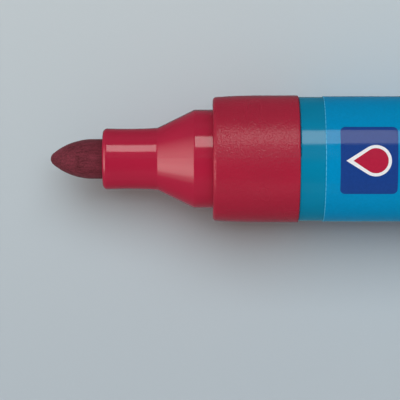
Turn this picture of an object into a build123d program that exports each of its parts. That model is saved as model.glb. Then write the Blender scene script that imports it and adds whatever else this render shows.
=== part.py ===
from build123d import *
import os
from math import asin, atan2, cos, hypot, sin, sqrt

# Felt tip marker with a replaceable bullet nib and a fibre ink reservoir, in millimetres.
#
# The marker lies on its side with the cap off the nib and pushed on behind. Its long axis is X: the
# nib points to -X and the cap is at +X. The origin is on that axis, in the middle of the label, and
# Z is up. It rests on its collar and on one edge of the cap's clip, which keeps it from rolling.
#
# Front section: nib, nib holder and grip collar. Barrel: barrel, printed label film, ink reservoir
# (fibre core in a film tube) and end plug. Cap: shell with its clip, and the sealing liner inside.

# ---------------------------------------------------------------- driving dimensions

# Lengths along X, from the nib's tip to the end of the cap
NIB_OUT = 7.0
NOSE_LENGTH = 7.3
CONE_LENGTH = 4.95
SEAT_LENGTH = 2.45
COLLAR_LENGTH = 11.4
BARREL_LEAD = 3.3
LABEL_LENGTH = 74.0
BARREL_TAIL = 3.5
FLANGE_LENGTH = 2.2
STUB_LENGTH = 7.4
CAP_LENGTH = 38.0

# Outer radii
NOSE_LIP_RADIUS = 4.12
NOSE_WAIST_RADIUS = 4.04
NOSE_ROOT_RADIUS = 4.17
SEAT_RADIUS = 6.6
COLLAR_FRONT_RADIUS = 8.26
COLLAR_RADIUS = 8.5
BARREL_RADIUS = 8.3
CAP_MOUTH_RADIUS = 8.26
CAP_END_RADIUS = 8.0

# Nib, the same bullet at both ends
NIB_RADIUS = 2.68
NIB_LENGTH = 34.0
NIB_SOAKED = 7.1  # length that stands in the reservoir
OGIVE_RADIUS = 8.3
TIP_RADIUS = 1.0

# Bores and walls
BARREL_BORE = 7.2
NIB_BORE = 3.0
SLEEVE_RADIUS = 3.8  # outside of the tube that guides the nib
COLLAR_LIP_BORE = 6.65
COLLAR_BORE = 7.1
LABEL_THICKNESS = 0.1
FILM_THICKNESS = 0.12
RESERVOIR_RADIUS = 6.0
RESERVOIR_LENGTH = 78.0
CAP_BORE = 6.4
LINER_RADIUS = 5.2
LINER_BORE = 4.2

# Fits, as radial clearances
RUNNING = 0.04  # pieces that slide on each other
SNUG = 0.02  # pieces pressed together for good
MOUTH_GAP = 0.1  # between the cap's mouth and the shoulder that it comes up against

# Edges
LEAD_IN = 0.25  # chamfer on an edge that enters a bore, or that a piece enters
OUTER_ROUND = 0.3
INNER_ROUND = 0.6

# Ribs and fins
NIB_RIBS = 6
BARREL_RIBS = 8
PLUG_FINS = 4
CAP_RIBS = 8
RIB_WIDTH = 0.8

# Spigots, and the snap beads that hold them in the barrel
SPIGOT_LENGTH = 7.0
PLUG_SPIGOT_LENGTH = 8.0
BEAD_RADIUS = 0.35
BEAD_INSET = 0.18  # how far the bead's centre lies inside the spigot's surface

# Clip
CLIP_WIDTH = 5.0
CLIP_TIP_ROUND = 1.6  # corner radius of its free end, seen from outside
CLIP_TOP = 11.2  # distance of its outer face from the axis
CLIP_UNDERSIDE = 9.5
CLIP_GRIP = 8.75  # lowest point of the bump that pinches a pocket's edge
CLIP_EDGE = 0.5
CLIP_SETBACK = 3.0  # from the cap's mouth to the clip's free end
CLIP_ROOT_LENGTH = 5.1
CLIP_ROOT_RISE = 0.8  # how far its root stands up square before it slopes outwards
CLIP_SLOPE_LENGTH = 2.6
CLIP_SLOPE_ROUND = 1.5
CLIP_END_GAP = 0.9  # from the clip's root to the cap's end
CLIP_SINK = 0.6  # how deep its root reaches into the cap's wall
BUMP_LENGTH = 7.2

# ---------------------------------------------------------------- stations along X

label_front = -LABEL_LENGTH / 2
label_rear = LABEL_LENGTH / 2
barrel_front = label_front - BARREL_LEAD
barrel_rear = label_rear + BARREL_TAIL
collar_front = barrel_front - COLLAR_LENGTH
seat_front = collar_front - SEAT_LENGTH
cone_front = seat_front - CONE_LENGTH
nose_front = cone_front - NOSE_LENGTH
nib_tip = nose_front - NIB_OUT
nib_middle = nib_tip + NIB_LENGTH / 2
nib_rear = nib_tip + NIB_LENGTH
reservoir_front = nib_rear - NIB_SOAKED
reservoir_rear = reservoir_front + RESERVOIR_LENGTH
stub_shoulder = barrel_rear + FLANGE_LENGTH
stub_end = stub_shoulder + STUB_LENGTH
cap_mouth = stub_shoulder + MOUTH_GAP
cap_end = cap_mouth + CAP_LENGTH

spigot_radius = BARREL_BORE - SNUG
bead_centre_radius = spigot_radius - BEAD_INSET
front_spigot_end = barrel_front + SPIGOT_LENGTH
rear_spigot_end = barrel_rear - PLUG_SPIGOT_LENGTH
front_bead = barrel_front + SPIGOT_LENGTH / 2
rear_bead = barrel_rear - SPIGOT_LENGTH / 2

os.makedirs("parts", exist_ok=True)


def bullet_outline(grow=0.0):
    """Half outline of the nib's inner half, as a closed line in the current sketch plane.

    It runs from the nib's middle to its rear end: straight, then an ogive, then a round tip. grow
    offsets it outwards, which gives the pocket that the nib leaves in the reservoir.
    """
    shoulder = nib_rear - TIP_RADIUS - sqrt(
        (OGIVE_RADIUS - TIP_RADIUS) ** 2 - (OGIVE_RADIUS - NIB_RADIUS) ** 2
    )
    ogive_centre = Vector(shoulder, NIB_RADIUS - OGIVE_RADIUS)
    tip_centre = Vector(nib_rear - TIP_RADIUS, 0)
    outwards = (tip_centre - ogive_centre).normalized()
    tangent_point = ogive_centre + outwards * (OGIVE_RADIUS + grow)
    side = NIB_RADIUS + grow
    tip = (nib_rear + grow, 0)
    Line((nib_middle, 0), (nib_middle, side))
    Line((nib_middle, side), (shoulder, side))
    RadiusArc((shoulder, side), tangent_point, OGIVE_RADIUS + grow)
    RadiusArc(tangent_point, tip, TIP_RADIUS + grow)
    Line(tip, (nib_middle, 0))


# ---------------------------------------------------------------- nib
# Bonded fibre rod with a bullet at both ends, so that it can be turned round when it wears.

with BuildPart() as nib:
    with BuildSketch(Plane.XZ):
        with BuildLine():
            bullet_outline()
        make_face()
    revolve(axis=Axis.X)
    mirror(about=Plane.YZ.offset(nib_middle))
nib.part.label = "nib"
export_step(nib.part, "parts/nib.step")

# ---------------------------------------------------------------- nib holder
# One glossy moulding. In front: a waisted nose, a cone, and the cylinder that the cap's mouth fits.
# Behind: a skirt under the collar, a flange that stops on the barrel, and a spigot inside it. A
# sleeve in the middle guides the nib to the reservoir, whose front edge rests on a step.

NOSE_WAIST_PLACE = 0.4  # the nose's narrowest place, as a share of its length
NOSE_RIM_ROUND = 0.6
CONE_ROUND = 0.4
HOLLOW_SETBACK = 1.9  # from the front of the cone to the hollow round the sleeve
HOLLOW_SHOULDER = 0.3  # from the front of the seat to where that hollow is at its widest
FLANGE_RADIUS = 7.65
FLANGE_THICKNESS = 1.0
LIP_LENGTH = 1.5  # length of the collar's lip, in front of the skirt
RELIEF_RADIUS = 6.4  # under that lip, so that it seats square
SKIRT_BORE = 6.2
STEP_BORE = 5.6
STEP_GAP = 0.1  # between the step and the reservoir
SLEEVE_GAP = 0.3  # between the sleeve and the reservoir
NIB_RIB_INSET = 0.4  # how far the ribs start inside the nose
skirt_radius = COLLAR_BORE - SNUG
skirt_front = collar_front + LIP_LENGTH
flange_front = barrel_front - FLANGE_THICKNESS
step = reservoir_front - STEP_GAP
sleeve_end = reservoir_front - SLEEVE_GAP
hollow_front = cone_front + HOLLOW_SETBACK
nib_ribs_front = nose_front + NIB_RIB_INSET

with BuildPart() as nib_holder:
    with BuildSketch(Plane.XZ):
        with BuildLine():
            ThreePointArc(
                (nose_front, NOSE_LIP_RADIUS),
                (nose_front + NOSE_WAIST_PLACE * NOSE_LENGTH, NOSE_WAIST_RADIUS),
                (cone_front, NOSE_ROOT_RADIUS),
            )
            Polyline(
                (cone_front, NOSE_ROOT_RADIUS),
                (seat_front, SEAT_RADIUS),
                (collar_front, SEAT_RADIUS),
                (collar_front, RELIEF_RADIUS),
                (skirt_front, RELIEF_RADIUS),
                (skirt_front, skirt_radius),
                (flange_front, skirt_radius),
                (flange_front, FLANGE_RADIUS),
                (barrel_front, FLANGE_RADIUS),
                (barrel_front, spigot_radius),
                (front_spigot_end, spigot_radius),
                (front_spigot_end, SKIRT_BORE),
                (step, SKIRT_BORE),
                (step, STEP_BORE),
                (seat_front + HOLLOW_SHOULDER, STEP_BORE),
                (hollow_front, SLEEVE_RADIUS),
                (sleeve_end, SLEEVE_RADIUS),
                (sleeve_end, NIB_BORE),
                (nose_front, NIB_BORE),
                (nose_front, NOSE_LIP_RADIUS),
            )
        make_face()
    revolve(axis=Axis.X)
    rims = nib_holder.edges().filter_by(GeomType.CIRCLE)
    nose_rim = rims.group_by(Axis.X)[0].sort_by(SortBy.RADIUS)[-1]
    bore_rim = rims.group_by(Axis.X)[0].sort_by(SortBy.RADIUS)[0]
    cone_rims = rims.filter_by_position(Axis.X, cone_front, seat_front)
    spigot_rim = rims.group_by(Axis.X)[-1].sort_by(SortBy.RADIUS)[-1]
    fillet(nose_rim, NOSE_RIM_ROUND)
    fillet(cone_rims, CONE_ROUND)
    chamfer([bore_rim, spigot_rim], LEAD_IN)
    with BuildSketch(Plane.XZ):
        with Locations((front_bead, bead_centre_radius)):
            Circle(BEAD_RADIUS)
    revolve(axis=Axis.X)
    with BuildSketch(Plane.YZ.offset(nib_ribs_front)):
        with PolarLocations(NIB_BORE, NIB_RIBS):
            Rectangle(RIB_WIDTH, RIB_WIDTH)
        Circle(NIB_RADIUS + RUNNING, mode=Mode.SUBTRACT)
    extrude(amount=sleeve_end - nib_ribs_front)
nib_holder.part.label = "nib_holder"
export_step(nib_holder.part, "parts/nib_holder.step")

# ---------------------------------------------------------------- grip collar
# Fine-textured ring in the ink's colour. It slides on over the nose, covers the holder's flange and
# butts against the barrel. Its outside is slightly crowned towards the front.

CROWN_LENGTH = 6.3
COLLAR_FRONT_ROUND = 0.5
COLLAR_REAR_ROUND = 0.15

with BuildPart() as grip_collar:
    with BuildSketch(Plane.XZ):
        with BuildLine():
            TangentArc(
                (collar_front + CROWN_LENGTH, COLLAR_RADIUS),
                (collar_front, COLLAR_FRONT_RADIUS),
                tangent=(-1, 0),
            )
            Polyline(
                (collar_front, COLLAR_FRONT_RADIUS),
                (collar_front, COLLAR_LIP_BORE),
                (skirt_front - SNUG, COLLAR_LIP_BORE),
                (skirt_front - SNUG, COLLAR_BORE),
                (flange_front - SNUG, COLLAR_BORE),
                (flange_front - SNUG, FLANGE_RADIUS + SNUG),
                (barrel_front, FLANGE_RADIUS + SNUG),
                (barrel_front, COLLAR_RADIUS),
                (collar_front + CROWN_LENGTH, COLLAR_RADIUS),
            )
        make_face()
    revolve(axis=Axis.X)
    rims = grip_collar.edges().filter_by(GeomType.CIRCLE)
    fillet(rims.group_by(Axis.X)[0].sort_by(SortBy.RADIUS)[-1], COLLAR_FRONT_ROUND)
    fillet(rims.group_by(Axis.X)[-1].sort_by(SortBy.RADIUS)[-1], COLLAR_REAR_ROUND)
grip_collar.part.label = "grip_collar"
export_step(grip_collar.part, "parts/grip_collar.step")

# ---------------------------------------------------------------- barrel
# Moulded tube, open at both ends. Ribs inside centre the reservoir and let air past it.

BARREL_END_ROUND = 0.2
RIB_GAP = 0.5  # between the ribs and either spigot
ribs_front = front_spigot_end + RIB_GAP
ribs_rear = rear_spigot_end - RIB_GAP

with BuildPart() as barrel:
    with BuildSketch(Plane.YZ.offset(barrel_front)):
        Circle(BARREL_RADIUS)
        Circle(BARREL_BORE, mode=Mode.SUBTRACT)
    extrude(amount=barrel_rear - barrel_front)
    end_rims = barrel.edges().filter_by(GeomType.CIRCLE).group_by(SortBy.RADIUS)
    fillet(end_rims[-1], BARREL_END_ROUND)
    chamfer(end_rims[0], LEAD_IN)
    with BuildSketch(Plane.XZ):
        with Locations(
            (front_bead, bead_centre_radius), (rear_bead, bead_centre_radius)
        ):
            Circle(BEAD_RADIUS + SNUG)
    revolve(axis=Axis.X, mode=Mode.SUBTRACT)
    with BuildSketch(Plane.YZ.offset(ribs_front)):
        with PolarLocations(BARREL_BORE, BARREL_RIBS):
            Rectangle(2 * (BARREL_BORE - RESERVOIR_RADIUS), RIB_WIDTH)
        Circle(RESERVOIR_RADIUS + RUNNING, mode=Mode.SUBTRACT)
        Circle((BARREL_RADIUS + BARREL_BORE) / 2, mode=Mode.INTERSECT)
    extrude(amount=ribs_rear - ribs_front)
barrel.part.label = "barrel"
export_step(barrel.part, "parts/barrel.step")

# ---------------------------------------------------------------- label
# Printed film shrunk on to the barrel.

with BuildPart() as label_sleeve:
    with BuildSketch(Plane.YZ.offset(label_front)):
        Circle(BARREL_RADIUS + LABEL_THICKNESS)
        Circle(BARREL_RADIUS, mode=Mode.SUBTRACT)
    extrude(amount=LABEL_LENGTH)
label_sleeve.part.label = "label_sleeve"
export_step(label_sleeve.part, "parts/label_sleeve.step")

# ---------------------------------------------------------------- ink reservoir
# Fibre bundle with the pocket that the nib presses into its front, and the film tube round it.

core_radius = RESERVOIR_RADIUS - FILM_THICKNESS

with BuildPart() as reservoir_core:
    with BuildSketch(Plane.YZ.offset(reservoir_front)):
        Circle(core_radius)
    extrude(amount=RESERVOIR_LENGTH)
    with BuildSketch(Plane.XZ):
        with BuildLine():
            bullet_outline(grow=RUNNING)
        make_face()
    revolve(axis=Axis.X, mode=Mode.SUBTRACT)
reservoir_core.part.label = "reservoir_core"
export_step(reservoir_core.part, "parts/reservoir_core.step")

with BuildPart() as reservoir_film:
    with BuildSketch(Plane.YZ.offset(reservoir_front)):
        Circle(RESERVOIR_RADIUS)
        Circle(core_radius, mode=Mode.SUBTRACT)
    extrude(amount=RESERVOIR_LENGTH)
reservoir_film.part.label = "reservoir_film"
export_step(reservoir_film.part, "parts/reservoir_film.step")

# ---------------------------------------------------------------- end plug
# Closes the barrel. Its stub has the seat's radius, so the cap pushes on to either end. Crossed fins
# inside it stand forward and hold the reservoir against the nib.

PLUG_BORE = 5.5
PLUG_END_WALL = 1.3
plug_floor = stub_end - PLUG_END_WALL

with BuildPart() as end_plug:
    with BuildSketch(Plane.XZ):
        with BuildLine():
            Polyline(
                (rear_spigot_end, PLUG_BORE),
                (rear_spigot_end, spigot_radius),
                (barrel_rear, spigot_radius),
                (barrel_rear, BARREL_RADIUS),
                (stub_shoulder, BARREL_RADIUS),
                (stub_shoulder, SEAT_RADIUS),
                (stub_end, SEAT_RADIUS),
                (stub_end, 0),
                (plug_floor, 0),
                (plug_floor, PLUG_BORE),
                close=True,
            )
        make_face()
    revolve(axis=Axis.X)
    rims = end_plug.edges().filter_by(GeomType.CIRCLE)
    fillet(rims.group_by(Axis.X)[-1], INNER_ROUND)
    fillet(rims.group_by(SortBy.RADIUS)[-1], OUTER_ROUND)
    chamfer(rims.group_by(Axis.X)[0].sort_by(SortBy.RADIUS)[-1], LEAD_IN)
    with BuildSketch(Plane.XZ):
        with Locations((rear_bead, bead_centre_radius)):
            Circle(BEAD_RADIUS)
    revolve(axis=Axis.X)
    with BuildSketch(Plane.YZ.offset(reservoir_rear + SNUG)):
        with PolarLocations(PLUG_BORE / 2, PLUG_FINS):
            Rectangle(PLUG_BORE, RIB_WIDTH)
    extrude(amount=plug_floor - reservoir_rear - SNUG)
end_plug.part.label = "end_plug"
export_step(end_plug.part, "parts/end_plug.step")

# ---------------------------------------------------------------- cap liner
# Inner cup that closes round the nose and keeps the nib from drying out.

LINER_WALL = LINER_RADIUS - LINER_BORE
STUB_GAP = 0.9  # between the liner and the stub, when the cap is pushed on behind
NIB_GAP = 2.8  # between the liner's floor and the nib, when the cap is on the nose
liner_front = cap_mouth + STUB_LENGTH + STUB_GAP
liner_end = cap_mouth + (collar_front - nib_tip) + NIB_GAP + LINER_WALL

with BuildPart() as cap_liner:
    with BuildSketch(Plane.XZ):
        with BuildLine():
            Polyline(
                (liner_front, LINER_BORE),
                (liner_front, CAP_BORE - SNUG),
                (liner_front + LINER_WALL, CAP_BORE - SNUG),
                (liner_front + LINER_WALL, LINER_RADIUS),
                (liner_end, LINER_RADIUS),
                (liner_end, 0),
                (liner_end - LINER_WALL, 0),
                (liner_end - LINER_WALL, LINER_BORE),
                close=True,
            )
        make_face()
    revolve(axis=Axis.X)
    rims = cap_liner.edges().filter_by(GeomType.CIRCLE)
    chamfer(rims.group_by(Axis.X)[0].sort_by(SortBy.RADIUS)[0], LEAD_IN)
    fillet(rims.group_by(Axis.X)[-1], INNER_ROUND)
cap_liner.part.label = "cap_liner"
export_step(cap_liner.part, "parts/cap_liner.step")

# ---------------------------------------------------------------- cap clip
# Springy arm on the cap, made here in place and joined to the shell below. It points down to one
# side by the angle at which its outer edge comes level with the collar's lowest line.

corner_out = CLIP_TOP - CLIP_EDGE
corner_across = CLIP_WIDTH / 2 - CLIP_EDGE
edge_reach = hypot(corner_out, corner_across)
clip_angle = asin((COLLAR_RADIUS - CLIP_EDGE) / edge_reach) - atan2(corner_across, corner_out)
clip_outwards = Axis((0, 0, 0), (0, -cos(clip_angle), -sin(clip_angle)))
side_plane = Plane(origin=(0, 0, 0), x_dir=(1, 0, 0), z_dir=(0, sin(clip_angle), -cos(clip_angle)))

clip_foot = CAP_END_RADIUS - CLIP_SINK
clip_tip = cap_mouth + CLIP_SETBACK
clip_rear = cap_end - CLIP_END_GAP
clip_root = clip_rear - CLIP_ROOT_LENGTH
bump = clip_tip + BUMP_LENGTH / 2
bump_rear = clip_tip + BUMP_LENGTH

with BuildPart() as clip:
    with BuildSketch(side_plane):
        with BuildLine():
            Polyline(
                (clip_rear, clip_foot),
                (clip_rear, CAP_END_RADIUS + CLIP_ROOT_RISE),
                (clip_rear - CLIP_SLOPE_LENGTH, CLIP_TOP),
                (clip_tip, CLIP_TOP),
                (clip_tip, CLIP_UNDERSIDE),
            )
            ThreePointArc(
                (clip_tip, CLIP_UNDERSIDE), (bump, CLIP_GRIP), (bump_rear, CLIP_UNDERSIDE)
            )
            Polyline(
                (bump_rear, CLIP_UNDERSIDE),
                (clip_root, CLIP_UNDERSIDE),
                (clip_root, clip_foot),
                (clip_rear, clip_foot),
            )
        make_face()
    extrude(amount=CLIP_WIDTH / 2, both=True)
    tip_corners = clip.edges().filter_by(clip_outwards).group_by(Axis.X)[0]
    fillet(tip_corners, CLIP_TIP_ROUND)
    slope_edge = clip.edges().group_by(clip_outwards)[-1].sort_by(Axis.X)[-1]
    fillet(slope_edge, CLIP_SLOPE_ROUND)
    fillet(clip.faces().sort_by(clip_outwards)[-1].edges(), CLIP_EDGE)

# ---------------------------------------------------------------- cap shell
# Tapered shell, closed at its end. Ribs behind the liner stop it from being pushed in.

CAP_END_WALL = 1.5
CAP_END_ROUND = 1.2
MOUTH_DEPTH = 8.2
GATE_RADIUS = 4.5  # shallow recess in the end face, where the moulding's gate is
GATE_DEPTH = 0.4
STOP_RIB_DEPTH = 1.8
cap_floor = cap_end - CAP_END_WALL
stop_ribs_front = liner_end + SNUG

with BuildPart() as cap_shell:
    with BuildSketch(Plane.XZ):
        with BuildLine():
            Polyline(
                (cap_mouth, SEAT_RADIUS + RUNNING),
                (cap_mouth, CAP_MOUTH_RADIUS),
                (cap_end, CAP_END_RADIUS),
                (cap_end, GATE_RADIUS),
                (cap_end - GATE_DEPTH, GATE_RADIUS),
                (cap_end - GATE_DEPTH, 0),
                (cap_floor, 0),
                (cap_floor, CAP_BORE),
                (cap_mouth + MOUTH_DEPTH, CAP_BORE),
                (cap_mouth + MOUTH_DEPTH, SEAT_RADIUS + RUNNING),
                close=True,
            )
        make_face()
    revolve(axis=Axis.X)
    rims = cap_shell.edges().filter_by(GeomType.CIRCLE)
    fillet(rims.group_by(Axis.X)[-1].sort_by(SortBy.RADIUS)[-1], CAP_END_ROUND)
    fillet(rims.group_by(Axis.X)[0].sort_by(SortBy.RADIUS)[-1], OUTER_ROUND)
    chamfer(rims.group_by(Axis.X)[0].sort_by(SortBy.RADIUS)[0], LEAD_IN)
    with BuildSketch(Plane.YZ.offset(stop_ribs_front)):
        with PolarLocations(CAP_BORE - STOP_RIB_DEPTH / 2 + SNUG, CAP_RIBS):
            Rectangle(STOP_RIB_DEPTH, RIB_WIDTH)
    extrude(amount=cap_floor - stop_ribs_front)
    add(clip.part)
cap_shell.part.label = "cap_shell"
export_step(cap_shell.part, "parts/cap_shell.step")
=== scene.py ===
from math import asin, cos, pi, radians, sin, sqrt, tan

import bpy
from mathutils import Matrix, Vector, noise


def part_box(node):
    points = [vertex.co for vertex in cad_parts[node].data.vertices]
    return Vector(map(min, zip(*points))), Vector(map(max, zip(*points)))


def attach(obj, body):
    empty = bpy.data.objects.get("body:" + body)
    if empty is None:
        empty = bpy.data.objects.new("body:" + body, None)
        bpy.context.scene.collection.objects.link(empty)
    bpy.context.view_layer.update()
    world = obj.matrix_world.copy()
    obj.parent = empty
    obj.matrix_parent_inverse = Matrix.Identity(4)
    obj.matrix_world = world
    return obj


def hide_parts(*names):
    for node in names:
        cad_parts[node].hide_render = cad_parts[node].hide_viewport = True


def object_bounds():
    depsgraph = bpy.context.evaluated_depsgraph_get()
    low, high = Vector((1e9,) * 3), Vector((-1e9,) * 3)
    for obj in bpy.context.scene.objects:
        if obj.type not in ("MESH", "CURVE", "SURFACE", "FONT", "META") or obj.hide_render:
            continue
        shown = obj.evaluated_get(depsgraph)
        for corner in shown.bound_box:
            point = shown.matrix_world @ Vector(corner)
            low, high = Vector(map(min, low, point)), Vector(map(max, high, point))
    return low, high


# Looks of the felt tip marker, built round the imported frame. Everything is in metres. X runs along the
# marker, the nib points to -X, the marker's long axis is the X axis itself, and it lies on a table.

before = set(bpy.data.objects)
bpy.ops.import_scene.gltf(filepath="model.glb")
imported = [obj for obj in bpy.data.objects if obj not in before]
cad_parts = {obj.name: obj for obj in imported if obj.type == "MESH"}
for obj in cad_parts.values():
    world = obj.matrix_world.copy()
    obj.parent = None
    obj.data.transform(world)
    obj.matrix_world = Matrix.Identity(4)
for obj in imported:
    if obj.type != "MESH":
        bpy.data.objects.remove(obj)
cad_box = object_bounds()

MM = 0.001

nib_low, nib_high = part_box("nib")
label_low, label_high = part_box("label_sleeve")

nib_radius = nib_high.z
label_radius = label_high.z
collar_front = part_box("grip_collar")[0].x

# ---------------------------------------------------------------- camera
# Straight above the front third of the marker, as far up as a table camera with a long lens.

VIEW_WIDTH = 53.6 * MM  # width of the picture at the height of the marker's axis
TIP_INSET = 6.8 * MM  # from the picture's left edge to the nib's tip
AXIS_RISE = 5.5 * MM  # how far the marker's axis lies above the picture's middle
CAMERA_HEIGHT = 281 * MM
NEAREST = 10 * MM
FURTHEST = 20.0
SENSOR = 36.0  # millimetres, as Blender's lenses are


def make_camera():
    data = bpy.data.cameras.new("camera")
    data.sensor_width = SENSOR
    data.lens = SENSOR * CAMERA_HEIGHT / VIEW_WIDTH
    data.clip_start = NEAREST
    data.clip_end = FURTHEST
    camera = bpy.data.objects.new("camera", data)
    middle = nib_low.x - TIP_INSET + VIEW_WIDTH / 2
    camera.location = (middle, -AXIS_RISE, CAMERA_HEIGHT)
    bpy.context.scene.collection.objects.link(camera)
    bpy.context.scene.camera = camera


# ---------------------------------------------------------------- colours

PLAIN_LIGHT = (1.0, 1.0, 1.0)
COOL_LIGHT = (0.95, 1.04, 1.09)
WARM_LIGHT = (1.0, 0.95, 0.90)
CARD_LIGHT = (1.0, 0.90, 0.80)
ROOM_LIGHT = (0.372, 0.320, 0.296)
MIRRORED_TINT = (0.55, 1.0, 1.08)

# The floor's colours at its front and at its back: paler at the back, a painted falloff of the light.
FLOOR_FRONT = (0.518, 0.595, 0.645)
FLOOR_BACK = (0.632, 0.700, 0.723)

RED = (0.42, 0.0125, 0.045)
COLLAR_RED = (0.382, 0.0112, 0.038)
TEAL = (0.0, 0.216, 0.378)
NIB_DARK = (0.058, 0.0065, 0.0105)
NIB_LIGHT = (0.195, 0.027, 0.046)
CORE_DARK = (0.30, 0.02, 0.04)
CORE_LIGHT = (0.5, 0.06, 0.08)
CORE_WRAP = (0.80, 0.78, 0.75)
LINER_WHITE = (0.76, 0.75, 0.72)

BLUE = (0.0, 0.248, 0.505)
NAVY = (0.012, 0.050, 0.240)
PRINT_RED = (0.43, 0.016, 0.050)
PRINT_WHITE = (0.80, 0.81, 0.82)
CUT_EDGE = (0.08, 0.48, 0.72)


def shade(colour, factor):
    return tuple(c * factor for c in colour)


def set_stops(ramp, stops):
    """Gives a colour ramp node those stops, each a position from 0 to 1 and a colour."""
    elements = ramp.color_ramp.elements
    while len(elements) < len(stops):
        elements.new(0.5)
    for element, (position, colour) in zip(elements, stops):
        element.position = position
        element.color = (*colour, 1)


# ---------------------------------------------------------------- light

# Strength along the card: each is a place from one end of it, 0, to the other, 1, and a factor.
CARD_FADE = (
    (0.0, 0.0),
    (0.11, 0.1),
    (0.38, 0.55),
    (0.67, 1.0),
    (0.80, 0.85),
    (0.88, 0.3),
    (1.0, 0.12),
)

# The room that shows in reflections: each is a height from straight down, 0, over the horizon, 0.5, to
# straight up, 1, and a brightness.
MIRRORED_ROOM = (
    (0.0, 0.20),
    (0.10, 0.14),
    (0.25, 0.08),
    (0.46, 0.08),
    (0.54, 0.14),
    (0.95, 0.03),
)

CARD_DIRECTION = (-0.80, 0.0, 0.42)  # beyond the nib and above it
SIDE_DIRECTION = (-1.0, -0.06, 0.10)  # beyond the nib, close to the floor


def tilted(degrees):
    """Direction that many degrees from straight up, towards +Y."""
    angle = radians(degrees)
    return (0, sin(angle), cos(angle))


def area_light(name, towards, size, radiance, colour=PLAIN_LIGHT, distance=1.0):
    """Rectangular light in that direction and at that distance from the marker's front, facing it."""
    data = bpy.data.lights.new(name, "AREA")
    data.shape = "RECTANGLE"
    data.size, data.size_y = size
    data.energy = radiance * pi * size[0] * size[1]
    data.color = colour
    light = bpy.data.objects.new(name, data)
    aim = Vector((collar_front, 0, 0))
    direction = Vector(towards).normalized()
    light.location = aim + direction * distance
    light.rotation_mode = "QUATERNION"
    light.rotation_quaternion = direction.to_track_quat("Z", "Y")
    bpy.context.scene.collection.objects.link(light)
    return light


def graduate(light, fade):
    """Makes the light's strength follow the fade along the first of its two sizes."""
    light.data.use_nodes = True
    nodes, links = light.data.node_tree.nodes, light.data.node_tree.links
    face = nodes.new("ShaderNodeNewGeometry")
    split = nodes.new("ShaderNodeSeparateXYZ")
    ramp = nodes.new("ShaderNodeValToRGB")
    set_stops(ramp, [(place, shade(PLAIN_LIGHT, factor)) for place, factor in fade])
    links.new(face.outputs["Parametric"], split.inputs[0])
    links.new(split.outputs["X"], ramp.inputs[0])
    links.new(ramp.outputs["Color"], nodes["Emission"].inputs["Strength"])


def link_light(light, piece, state):
    """Makes that light shine on the piece alone (INCLUDE) or on all but the piece (EXCLUDE), and keeps
    it out of reflections."""
    receivers = bpy.data.collections.new(light.name + "_receivers")
    receivers.objects.link(piece)
    receivers.collection_objects[0].light_linking.link_state = state
    light.light_linking.receiver_collection = receivers
    light.visible_glossy = False


def make_lights(floor):
    """A softbox and a card that only make highlights, a window light for the floor alone, in which the
    marker throws its shadow, and an overhead light, a fill and a low side light for all but the floor."""
    softbox = area_light(
        "softbox", tilted(39.5), size=(0.50, 0.74), radiance=3.3, colour=WARM_LIGHT, distance=1.6
    )
    card = area_light(
        "card", CARD_DIRECTION, size=(1.6, 0.62), radiance=3.0, colour=CARD_LIGHT, distance=0.8
    )
    graduate(card, CARD_FADE)
    for light in (softbox, card):
        light.visible_diffuse = False
    window = area_light("window", tilted(24), size=(0.93, 0.80), radiance=2.85, colour=COOL_LIGHT)
    link_light(window, floor, "INCLUDE")
    overhead = area_light("overhead", tilted(15), size=(2.0, 0.54), radiance=2.45, colour=COOL_LIGHT)
    fill = area_light("fill", tilted(-56), size=(0.8, 0.4), radiance=2.4)
    side = area_light("side", SIDE_DIRECTION, size=(0.6, 0.4), radiance=4.6)
    for light in (overhead, fill, side):
        link_light(light, floor, "EXCLUDE")


def make_world():
    """Even room light, with a dimmer and cooler room in reflections, which is darkest overhead, where
    the camera stands."""
    world = bpy.data.worlds.new("studio")
    world.use_nodes = True
    bpy.context.scene.world = world
    nodes, links = world.node_tree.nodes, world.node_tree.links
    coordinates = nodes.new("ShaderNodeTexCoord")
    split = nodes.new("ShaderNodeSeparateXYZ")
    height = nodes.new("ShaderNodeMapRange")
    height.inputs["From Min"].default_value = -1.0
    ramp = nodes.new("ShaderNodeValToRGB")
    set_stops(ramp, [(place, shade(MIRRORED_TINT, grey)) for place, grey in MIRRORED_ROOM])
    path = nodes.new("ShaderNodeLightPath")
    choice = nodes.new("ShaderNodeMix")
    choice.data_type = "RGBA"
    room, mirrored, mixed = choice.inputs[6], choice.inputs[7], choice.outputs[2]
    room.default_value = (*ROOM_LIGHT, 1)
    links.new(coordinates.outputs["Generated"], split.inputs[0])
    links.new(split.outputs["Z"], height.inputs["Value"])
    links.new(height.outputs["Result"], ramp.inputs[0])
    links.new(ramp.outputs["Color"], mirrored)
    links.new(path.outputs["Is Glossy Ray"], choice.inputs["Factor"])
    links.new(mixed, nodes["Background"].inputs["Color"])


# ---------------------------------------------------------------- materials
# Noise is given in cycles per metre, as one number or as one for each axis. Marks that run along the
# marker have fewer cycles on X.

NOISE_LOW, NOISE_HIGH = 0.3, 0.7  # nearly all of a noise lies between these

FLOOR_PAINTED_FALLOFF = 40 * MM  # from the marker's axis to where the floor's colour stops changing

# Depths of relief that is too fine for the meshes
POLISH_RELIEF = 0.004 * MM
GRAIN_RELIEF = 0.052 * MM
FIBRE_RELIEF = 0.05 * MM
INK_RELIEF = 0.006 * MM
PAPER_RELIEF = 0.02 * MM


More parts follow.
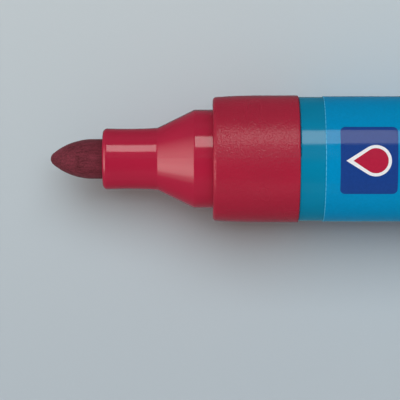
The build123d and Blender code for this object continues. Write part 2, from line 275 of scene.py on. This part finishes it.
class Look:
    """A material, with short ways to add nodes to it and link them."""

    def __init__(self, name, **shader_values):
        self.material = bpy.data.materials.new(name)
        self.material.use_nodes = True
        self.nodes = self.material.node_tree.nodes
        self.links = self.material.node_tree.links
        self.shader = self.nodes["Principled BSDF"]
        for socket, value in shader_values.items():
            self.shader.inputs[socket.replace("_", " ")].default_value = value
        self.place = self.nodes.new("ShaderNodeTexCoord").outputs["Object"]

    def noise(self, cycles, detail=2.0, roughness=0.5, distortion=0.0):
        mapping = self.nodes.new("ShaderNodeMapping")
        mapping.inputs["Scale"].default_value = cycles if isinstance(cycles, tuple) else (cycles,) * 3
        self.links.new(self.place, mapping.inputs["Vector"])
        texture = self.nodes.new("ShaderNodeTexNoise")
        texture.inputs["Scale"].default_value = 1.0
        texture.inputs["Detail"].default_value = detail
        texture.inputs["Roughness"].default_value = roughness
        texture.inputs["Distortion"].default_value = distortion
        self.links.new(mapping.outputs["Vector"], texture.inputs["Vector"])
        return texture.outputs["Fac"]

    def spread(self, source, low, high, start=0.0, end=1.0):
        """Maps source's start to end on to low to high."""
        node = self.nodes.new("ShaderNodeMapRange")
        node.inputs["From Min"].default_value = start
        node.inputs["From Max"].default_value = end
        node.inputs["To Min"].default_value = low
        node.inputs["To Max"].default_value = high
        self.links.new(source, node.inputs["Value"])
        return node.outputs["Result"]

    def add(self, a, b):
        node = self.nodes.new("ShaderNodeMath")
        self.links.new(a, node.inputs[0])
        self.links.new(b, node.inputs[1])
        return node.outputs[0]

    def set(self, socket, source):
        self.links.new(source, self.shader.inputs[socket])

    def blend_colours(self, source, start, first, end, second):
        """Base colour that is the first one up to source's start and the second one from its end."""
        ramp = self.nodes.new("ShaderNodeValToRGB")
        set_stops(ramp, ((start, first), (end, second)))
        self.links.new(source, ramp.inputs[0])
        self.set("Base Color", ramp.outputs["Color"])

    def vary_colour(self, source, colour, share):
        """Base colour that the source makes darker and lighter by up to that share."""
        darker, lighter = shade(colour, 1 - share), shade(colour, 1 + share)
        self.blend_colours(source, NOISE_LOW, darker, NOISE_HIGH, lighter)

    def bump(self, height, depth, strength=1.0):
        """Bump of that depth in metres."""
        node = self.nodes.new("ShaderNodeBump")
        node.inputs["Strength"].default_value = strength
        node.inputs["Distance"].default_value = depth
        self.links.new(height, node.inputs["Height"])
        self.set("Normal", node.outputs["Normal"])


def gloss_plastic(name, colour, roughness, ior=1.5):
    """Polished moulding: faint flow marks in its colour, and fine scratches in its gloss."""
    look = Look(name, IOR=ior)
    flow_marks = look.noise((60, 220, 220), detail=3, distortion=0.6)
    look.vary_colour(flow_marks, colour, share=0.05)
    scratches = look.noise((250, 4000, 4000), detail=4, roughness=0.65)
    look.set("Roughness", look.spread(scratches, roughness - 0.04, roughness + 0.05))
    look.bump(look.noise(900, detail=1), POLISH_RELIEF)
    return look.material


def satin_plastic(name, colour):
    """Moulding from a spark-eroded tool: a fine grain breaks up its highlight, and handling has made
    its gloss a little uneven."""
    look = Look(name, IOR=1.5)
    flow_marks = look.noise((80, 200, 200), detail=3, distortion=0.5)
    look.vary_colour(flow_marks, colour, share=0.05)
    wear = look.noise((110, 50, 50), detail=1)
    look.set("Roughness", look.spread(wear, 0.23, 0.31, start=NOISE_LOW, end=NOISE_HIGH))
    look.bump(look.noise(4300, detail=1), GRAIN_RELIEF)
    return look.material


def felt(name, dark, light):
    """Bonded fibres soaked in ink: streaks along the nib, a fine speckle of fibre ends, and blotches
    where the ink lies thicker."""
    look = Look(name, Roughness=0.85, Sheen_Weight=0.06, Sheen_Roughness=0.4, Specular_IOR_Level=0.25)
    streaks = look.noise((420, 4300, 4300), detail=3, roughness=0.65)
    speckle = look.noise(5200, detail=2, roughness=0.75)
    blotches = look.noise((420, 700, 700), detail=2, roughness=0.6)
    fibres = look.add(look.spread(streaks, 0.0, 0.38), look.spread(speckle, 0.0, 0.36))
    fibres_and_ink = look.add(fibres, look.spread(blotches, 0.0, 0.26))
    look.blend_colours(fibres_and_ink, 0.36, dark, 0.62, light)
    look.bump(fibres, FIBRE_RELIEF, strength=0.7)
    return look.material


def film(name, colour, roughness=0.09):
    """Glossy printed film with the faint unevenness of printed ink."""
    look = Look(name, IOR=1.5, Specular_IOR_Level=0.3)
    print_dots = look.noise(3000, detail=1)
    look.vary_colour(print_dots, colour, share=0.04)
    smears = look.noise((120, 900, 900), detail=3)
    look.set("Roughness", look.spread(smears, roughness - 0.02, roughness + 0.03))
    look.bump(look.noise(500, detail=2), INK_RELIEF)
    return look.material


def floor_material():
    """Background paper with a hardly visible mottle, and a painted falloff of light: paler towards the
    back.
    """
    look = Look("floor", Roughness=0.75, Specular_IOR_Level=0.2)
    split = look.nodes.new("ShaderNodeSeparateXYZ")
    look.links.new(look.place, split.inputs[0])
    # Painted falloff of light: the floor's colour runs from the front colour to the paler back colour.
    depth = look.spread(split.outputs["Y"], 0.0, 1.0, start=-FLOOR_PAINTED_FALLOFF, end=FLOOR_PAINTED_FALLOFF)
    mottle = look.spread(look.noise(40, detail=4), -0.06, 0.06)
    look.blend_colours(look.add(depth, mottle), 0.0, FLOOR_FRONT, 1.0, FLOOR_BACK)
    look.bump(look.noise(2500, detail=3), PAPER_RELIEF, strength=0.3)
    return look.material


def paint_nodes():
    """Gives the CAD pieces that stay in view their materials."""
    red = gloss_plastic("red_gloss", RED, 0.11, ior=1.6)
    looks = {
        "nib_holder": red,
        "end_plug": red,
        "cap_shell": red,
        "grip_collar": satin_plastic("red_satin", COLLAR_RED),
        "barrel": gloss_plastic("teal_gloss", TEAL, 0.12),
        "label_sleeve": film("label_blue", BLUE),
        "reservoir_core": felt("reservoir_fibre", CORE_DARK, CORE_LIGHT),
        "reservoir_film": film("wrap_film", CORE_WRAP),
        "cap_liner": gloss_plastic("liner_white", LINER_WHITE, 0.3),
    }
    for node, material in looks.items():
        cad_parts[node].material_slots[0].material = material


# ---------------------------------------------------------------- pieces


def new_piece(name, points, faces, material, body, smooth=True):
    """Mesh piece of that material, which moves with the body."""
    mesh = bpy.data.meshes.new(name)
    mesh.from_pydata(points, [], faces)
    mesh.polygons.foreach_set("use_smooth", [smooth] * len(mesh.polygons))
    mesh.materials.append(material)
    piece = bpy.data.objects.new(name, mesh)
    bpy.context.scene.collection.objects.link(piece)
    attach(piece, body)
    return piece


def round_axis(x, angle, radius):
    """Point at that radius round the marker's axis, its angle measured from straight up towards +Y."""
    return Vector((x, radius * sin(angle), radius * cos(angle)))


def tube_faces(rings, sides, first):
    """Quads between rings of that many points each, the first point's number given."""
    faces = []
    for ring in range(rings - 1):
        here = first + ring * sides
        for side in range(sides):
            beside = (side + 1) % sides
            faces.append((here + side, here + beside, here + sides + beside, here + sides + side))
    return faces


# ---------------------------------------------------------------- nib

OGIVE_RADIUS = 8.3 * MM  # of the arc along the bullet's flank
TIP_RADIUS = 1.0 * MM
NIB_SIDES = 220
TIP_STEPS = 8
OGIVE_STEPS = 60
MIDDLE_STEPS = 50

FIBRE = 0.28 * MM  # spacing of the fibre bundles across the nib
FIBRE_LENGTH = 5 * MM
FIBRE_DEPTH = 0.045 * MM
ENDS_PER_FIBRE = 1.7  # the speckle of fibre ends is finer than the bundles
MEAN_SHARE, BUNDLE_SHARE, END_SHARE = 0.45, 0.35, 0.20  # of FIBRE_DEPTH


def bullet_stations():
    """(distance from the tip, radius) from the nib's tip to the end of its ogive."""
    shoulder = TIP_RADIUS + sqrt((OGIVE_RADIUS - TIP_RADIUS) ** 2 - (OGIVE_RADIUS - nib_radius) ** 2)
    turn = asin((shoulder - TIP_RADIUS) / (OGIVE_RADIUS - TIP_RADIUS))
    stations = []
    for step in range(1, TIP_STEPS):
        angle = (pi / 2 - turn) * step / TIP_STEPS
        stations.append((TIP_RADIUS * (1 - cos(angle)), TIP_RADIUS * sin(angle)))
    for step in range(OGIVE_STEPS + 1):
        angle = turn * (1 - step / OGIVE_STEPS)
        along = shoulder - OGIVE_RADIUS * sin(angle)
        stations.append((along, nib_radius - OGIVE_RADIUS * (1 - cos(angle))))
    return stations


def fibre_depth(point):
    """How deep the nib's surface lies below its smooth form there: fibres run along X."""
    bundles = noise.noise(Vector((point.x / FIBRE_LENGTH, point.y / FIBRE, point.z / FIBRE)))
    ends = noise.noise(point * (ENDS_PER_FIBRE / FIBRE))
    return FIBRE_DEPTH * (MEAN_SHARE + BUNDLE_SHARE * bundles + END_SHARE * ends)


def make_nib():
    """Bullet of bonded fibres, the same at both ends, with the fibres' relief cut into its surface."""
    length = nib_high.x - nib_low.x
    front = bullet_stations()
    shoulder = front[-1][0]
    run = length - 2 * shoulder
    middle = [(shoulder + run * step / MIDDLE_STEPS, nib_radius) for step in range(1, MIDDLE_STEPS)]
    stations = front + middle + [(length - along, radius) for along, radius in reversed(front)]
    points = [Vector((nib_low.x, 0, 0))]
    for along, radius in stations:
        fade = min(1.0, radius / TIP_RADIUS)
        for side in range(NIB_SIDES):
            angle = 2 * pi * side / NIB_SIDES
            point = round_axis(nib_low.x + along, angle, radius)
            points.append(point - round_axis(0, angle, fibre_depth(point) * fade))
    points.append(Vector((nib_high.x, 0, 0)))
    faces = [(0, 1 + (side + 1) % NIB_SIDES, 1 + side) for side in range(NIB_SIDES)]
    faces += tube_faces(len(stations), NIB_SIDES, 1)
    last_ring = 1 + (len(stations) - 1) * NIB_SIDES
    rear = len(points) - 1
    faces += [(rear, last_ring + side, last_ring + (side + 1) % NIB_SIDES) for side in range(NIB_SIDES)]
    nib = new_piece("fibre_nib", points, faces, felt("nib_felt", NIB_DARK, NIB_LIGHT), "nib")
    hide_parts("nib")


# ---------------------------------------------------------------- print on the label

PRINT_STEP = 0.012 * MM  # each layer of print stands this much higher than the one below it
PRINT_ROOT = 0.03 * MM  # how far a printed layer reaches into the film
PRINT_END = 0.01 * MM  # half width left at a print's very ends, so that its faces don't vanish there
GROUND_LAYER, OUTLINE_LAYER, FILL_LAYER, OVERLAP_LAYER = 1, 2, 3, 4  # counted from the film up
RING_SIDES = 180

PANEL_INSET = 1.9 * MM  # from the label's front edge to the panel
PANEL_LENGTH = 7.5 * MM
PANEL_HALF = 4.6 * MM
PANEL_CORNER = 0.7 * MM
PANEL_ANGLE = radians(-2.7)

DROP_INSET = 0.75 * MM  # from the panel's front edge to the drop's point
DROP_LENGTH = 5.9 * MM
DROP_RADIUS = 2.05 * MM
DROP_BORDER = 0.42 * MM
POINT_BORDER = 2.2  # the border is this many times as wide at the drop's point

SAMPLE_INSET = 16 * MM  # from the label's front edge to the line samples
SAMPLE_LENGTH = 18 * MM
SAMPLE_GAP = 3.4 * MM
SAMPLE_WIDTHS = (0.8 * MM, 1.5 * MM, 2.6 * MM)
SAMPLE_CORNER = 1 / 2.05  # of a sample's width, which makes its ends nearly round

NAVY_BAND = (9.5 * MM, 4.5 * MM)  # from the label's rear edge to the band's two edges
RED_BAND = (3.7 * MM, 2.4 * MM)

CUT_WIDTH = 0.08 * MM
CUT_OUTSTAND = 0.005 * MM  # how far a cut edge stands out past the film's end
CUT_ROUGHNESS = 0.25

SEAM_ANGLE = radians(152)
SEAM_WIDTH = 3.0 * MM
SEAM_CORNER = 0.2 * MM
SEAM_SHADE = 0.97


def flipped(faces):
    """The same faces, turned the other way."""
    return [tuple(reversed(face)) for face in faces]


def end_cap(first, across):
    """Quads that close an end of a print, between its outer row of points and its inner one."""
    last = first + 2 * across + 1
    return [(first + place, first + place + 1, last - place - 1, last - place) for place in range(across)]


def make_print(name, layer, material, x_low, x_high, half_width, centre=0.0, steps=48, across=40):
    """Closed sheet wrapped on the label: half_width(x) is its arc length either side of the centre
    angle, which is measured from straight up towards +Y."""
    outer = label_radius + layer * PRINT_STEP
    inner = label_radius - PRINT_ROOT
    points = []
    for step in range(steps + 1):
        x = x_low + (x_high - x_low) * (1 - cos(pi * step / steps)) / 2
        spread = half_width(x) / label_radius
        angles = [centre + spread * (2 * place / across - 1) for place in range(across + 1)]
        points += [round_axis(x, angle, outer) for angle in angles]
        points += [round_axis(x, angle, inner) for angle in reversed(angles)]
    sides = 2 * (across + 1)
    faces = flipped(tube_faces(steps + 1, sides, 0))
    faces += end_cap(0, across)
    faces += flipped(end_cap(steps * sides, across))
    new_piece(name, points, faces, material, "pen", smooth=False)


def make_ring(name, material, x_low, x_high, radius):
    """Closed band round the label, from just under its surface to that radius."""
    inner = label_radius - PRINT_ROOT
    outline = ((x_low, inner), (x_low, radius), (x_high, radius), (x_high, inner))
    points = []
    for x, ring_radius in outline:
        points += [round_axis(x, 2 * pi * side / RING_SIDES, ring_radius) for side in range(RING_SIDES)]
    faces = tube_faces(len(outline), RING_SIDES, 0)
    last = (len(outline) - 1) * RING_SIDES
    for side in range(RING_SIDES):
        beside = (side + 1) % RING_SIDES
        faces.append((last + side, last + beside, beside, side))
    new_piece(name, points, flipped(faces), material, "pen", smooth=False)


def rounded_bar(x_low, x_high, half, corner):
    """Half width of a bar with round corners, as a function of x."""

    def half_width(x):
        inset = max(0.0, corner - min(x - x_low, x_high - x))
        return half - corner + sqrt(max(0.0, corner ** 2 - inset ** 2)) + PRINT_END

    return half_width


def drop(x_point, length, radius):
    """Half width of an ink drop with its point at x_point and its round end at x_point + length."""
    centre = x_point + length - radius
    slope = asin(radius / (centre - x_point))
    touch = centre - radius * sin(slope)

    def half_width(x):
        if x < touch:
            return (x - x_point) * tan(slope) + PRINT_END
        return sqrt(max(0.0, radius ** 2 - (x - centre) ** 2)) + PRINT_END

    return half_width


def make_drop(name, layer, material, border):
    """Ink drop on the panel, smaller than the full one by that border on each side."""
    point = label_low.x + PANEL_INSET + DROP_INSET + border * POINT_BORDER
    length = DROP_LENGTH - border * (1 + POINT_BORDER)
    outline = drop(point, length, DROP_RADIUS - border)
    make_print(name, layer, material, point, point + length, outline, PANEL_ANGLE)


def make_mark():
    """Plain printed mark that tells the ink's colour: a drop of it on a dark panel."""
    navy = film("print_navy", NAVY)
    white = film("print_white", PRINT_WHITE)
    red = film("print_red", PRINT_RED)
    low = label_low.x + PANEL_INSET
    high = low + PANEL_LENGTH
    panel = rounded_bar(low, high, PANEL_HALF, PANEL_CORNER)
    make_print("mark_panel", GROUND_LAYER, navy, low, high, panel, PANEL_ANGLE)
    make_drop("mark_drop_edge", OUTLINE_LAYER, white, 0.0)
    make_drop("mark_drop", FILL_LAYER, red, DROP_BORDER)
    return navy, white, red


def make_line_samples(white):
    """Three plain strokes of growing width, which stand for the widths that the nib draws."""
    low = label_low.x + SAMPLE_INSET
    high = low + SAMPLE_LENGTH
    for number, width in enumerate(SAMPLE_WIDTHS):
        bar = rounded_bar(low, high, width / 2, width * SAMPLE_CORNER)
        angle = (1 - number) * SAMPLE_GAP / label_radius
        name = f"line_sample_{number + 1}"
        make_print(name, GROUND_LAYER, white, low, high, bar, angle, steps=60, across=12)


def make_bands(navy, red):
    """Colour code printed round the label's rear end."""
    for name, material, (front, back) in (("band_navy", navy, NAVY_BAND), ("band_red", red, RED_BAND)):
        make_ring(name, material, label_high.x - front, label_high.x - back, label_radius + PRINT_STEP)


def make_label_edges():
    """The film's cut edges, where its pale core shows, and the strip where its ends overlap."""
    cut = film("film_cut_edge", CUT_EDGE, CUT_ROUGHNESS)
    raised = label_radius + PRINT_STEP / 2
    front, rear = label_low.x, label_high.x
    make_ring("label_front_edge", cut, front - CUT_OUTSTAND, front + CUT_WIDTH, raised)
    make_ring("label_rear_edge", cut, rear - CUT_WIDTH, rear + CUT_OUTSTAND, raised)
    low, high = front + 2 * CUT_WIDTH, rear - 2 * CUT_WIDTH
    blue = film("label_overlap_blue", shade(BLUE, SEAM_SHADE))
    bar = rounded_bar(low, high, SEAM_WIDTH / 2, SEAM_CORNER)
    make_print("label_overlap", OVERLAP_LAYER, blue, low, high, bar, SEAM_ANGLE, steps=60, across=16)


# ---------------------------------------------------------------- floor

FLOOR_SIZE = 4.0


def make_floor():
    half = FLOOR_SIZE / 2
    mesh = bpy.data.meshes.new("floor")
    level = cad_box[0].z
    corners = [(-half, -half, level), (half, -half, level), (half, half, level), (-half, half, level)]
    mesh.from_pydata(corners, [], [(0, 1, 2, 3)])
    floor = bpy.data.objects.new("floor", mesh)
    bpy.context.scene.collection.objects.link(floor)
    mesh.materials.append(floor_material())
    floor.visible_glossy = False
    return floor


# ---------------------------------------------------------------- the scene

make_camera()
make_lights(make_floor())
make_world()
paint_nodes()
make_nib()
navy_print, white_print, red_print = make_mark()
make_line_samples(white_print)
make_bands(navy_print, red_print)
make_label_edges()

bpy.context.scene.view_settings.view_transform = "Standard"
